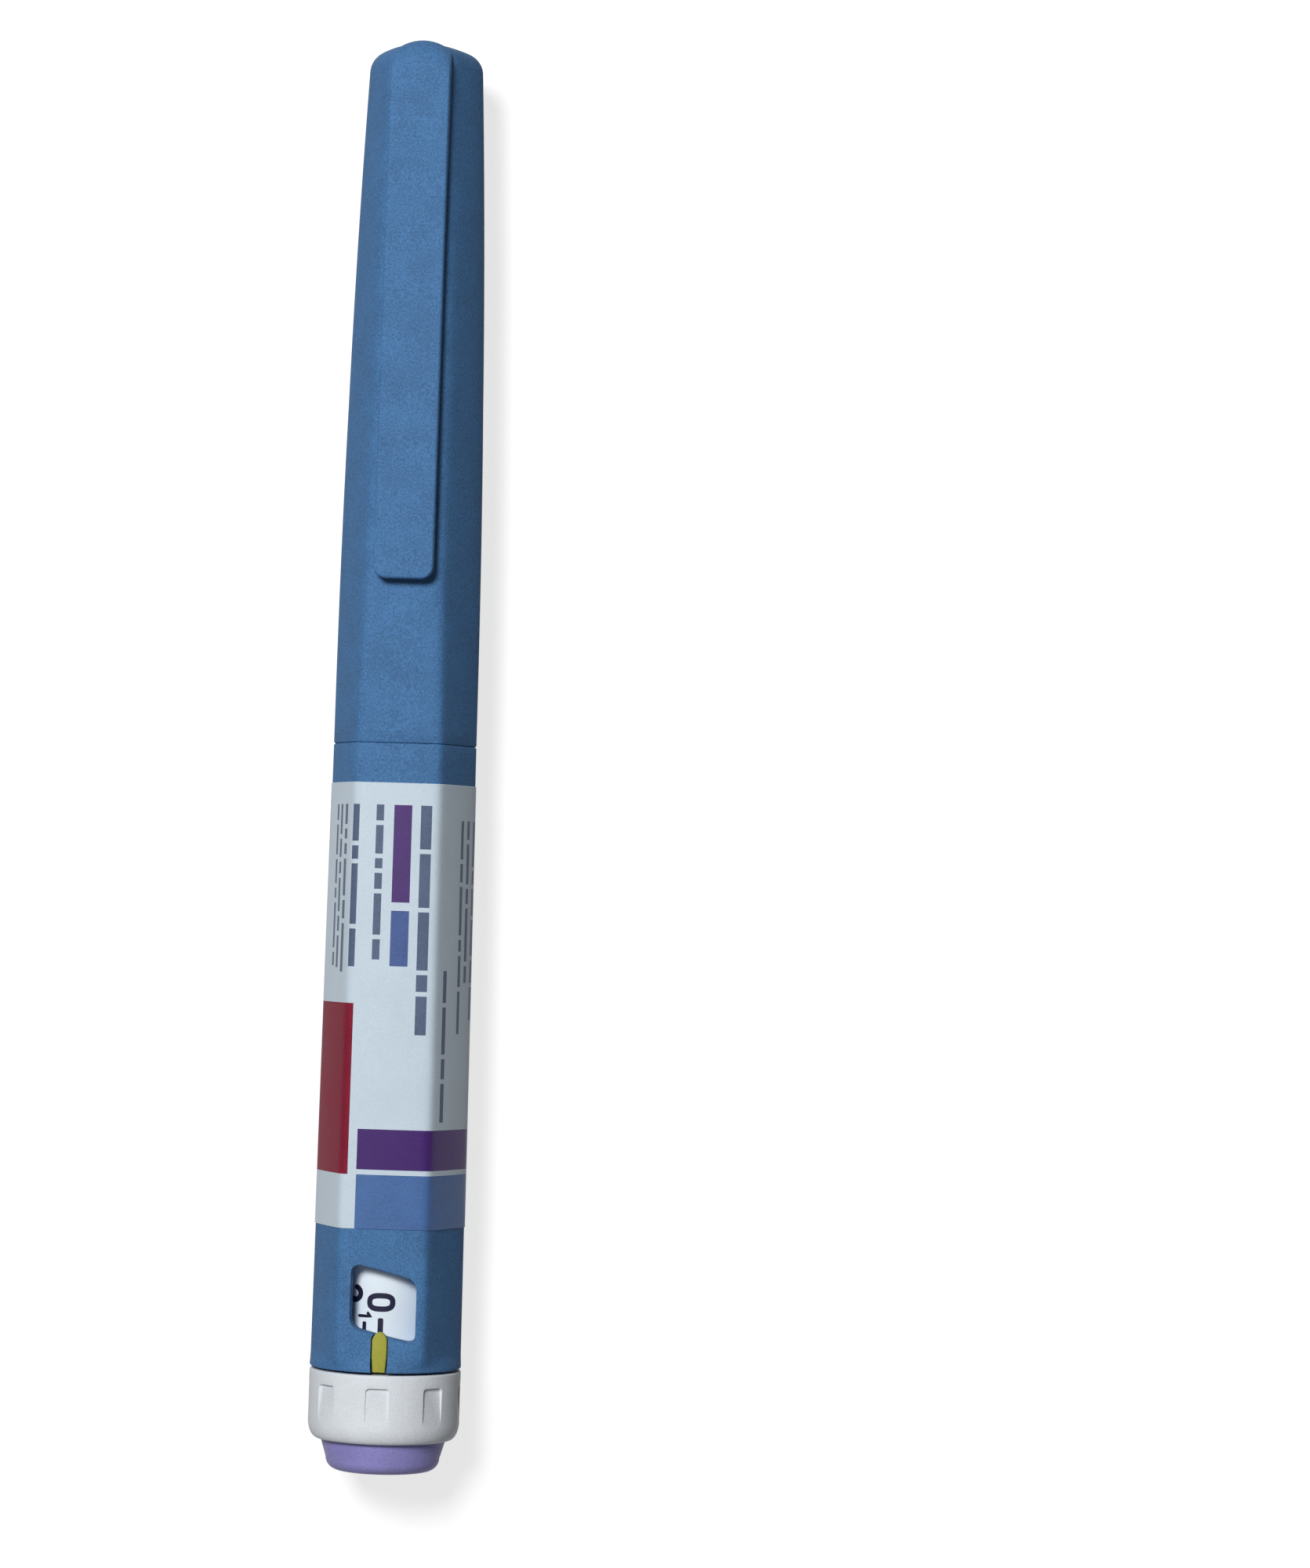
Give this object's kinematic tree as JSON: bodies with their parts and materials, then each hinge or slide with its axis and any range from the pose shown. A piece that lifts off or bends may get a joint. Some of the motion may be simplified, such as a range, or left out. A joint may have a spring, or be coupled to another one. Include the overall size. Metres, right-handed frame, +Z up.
{
  "type": "insulin pen",
  "caption": "Insulin injection pen: tapered pull-off cap with a pocket clip, soft-hexagon grip body with a dose window, turning dose knob and push button.",
  "frame": {"origin": "on the ground under the middle of the pen, which lies on its side with its window and clip upwards", "axes": "+Y along the pen from the button to the cap's tip, +Z up out of the front facet"},
  "size_m": [0.0182, 0.1722, 0.0193],
  "materials": {
    "blue_shell": "fine satin moulded plastic",
    "label_film": "satin printed film",
    "pointer_yellow": "satin moulded plastic",
    "white_plastic": "satin moulded plastic",
    "button_lavender": "satin moulded plastic",
    "clear_holder": "clear moulded plastic",
    "glass_barrel": "clear glass",
    "crimp_metal": "rolled aluminium",
    "septum_rubber": "matte rubber",
    "stopper_rubber": "matte rubber",
    "natural_plastic": "moulded natural acetal",
    "amber_plastic": "moulded acetal",
    "spring_steel": "drawn wire"
  },
  "bodies": {
    "housing": {"housing_shell": "blue_shell", "label": "label_film", "dose_pointer": "pointer_yellow", "cartridge_holder": "clear_holder", "cartridge_barrel": "glass_barrel", "crimp_cap": "crimp_metal", "septum": "septum_rubber", "rod_nut": "natural_plastic", "ratchet_ring": "amber_plastic"},
    "cap": {"cap_shell": "blue_shell"},
    "clip": {"pocket_clip": "blue_shell"},
    "plunger": {"pressure_foot": "natural_plastic", "stopper": "stopper_rubber"},
    "rod": {"piston_rod": "natural_plastic"},
    "drive": {"drive_sleeve": "natural_plastic", "clutch_ring": "amber_plastic", "button_spring": "spring_steel"},
    "limiter": {"last_dose_nut": "amber_plastic"},
    "dial": {"scale_drum": "white_plastic", "dose_knob": "white_plastic"},
    "button": {"injection_button": "button_lavender"}
  },
  "joints": [
    {"name": "cap_pull", "type": "slide", "parent": "housing", "child": "cap", "axis": [0, 1, 0], "range_m": [0, 0.09]},
    {"name": "clip_flex", "type": "hinge", "parent": "cap", "child": "clip", "pos_m": [0, 0.06975, 0.01768], "axis": [-1, 0, 0], "range_deg": [0, 3], "stiffness_Nm_per_rad": 2},
    {"name": "dose_slide", "type": "slide", "parent": "housing", "child": "drive", "axis": [0, -1, 0], "range_m": [0, 0.0384]},
    {"name": "dial_turn", "type": "hinge", "parent": "drive", "child": "dial", "pos_m": [0, -0.07375, 0.0091], "axis": [0, 1, 0], "range_deg": [0, 1440]},
    {"name": "button_press", "type": "slide", "parent": "drive", "child": "button", "axis": [0, 1, 0], "range_m": [0, 0.0013], "stiffness_N_per_m": 1200, "deforming": ["button_spring"]},
    {"name": "rod_advance", "type": "slide", "parent": "housing", "child": "plunger", "axis": [0, 1, 0], "range_m": [0, 0.039]},
    {"name": "rod_turn", "type": "hinge", "parent": "plunger", "child": "rod", "pos_m": [0, -0.01895, 0.0091], "axis": [0, 1, 0], "range_deg": [0, 1800]},
    {"name": "limiter_slide", "type": "slide", "parent": "drive", "child": "limiter", "axis": [0, -1, 0], "range_m": [0, 0.0195]}
  ],
  "couplings": [
    {"joint": "dial_turn", "follows": "dose_slide", "rad_per_m": 654.5},
    {"joint": "rod_turn", "follows": "rod_advance", "rad_per_m": 805.54},
    {"joint": "limiter_slide", "follows": "rod_advance", "ratio": 0.5}
  ]
}
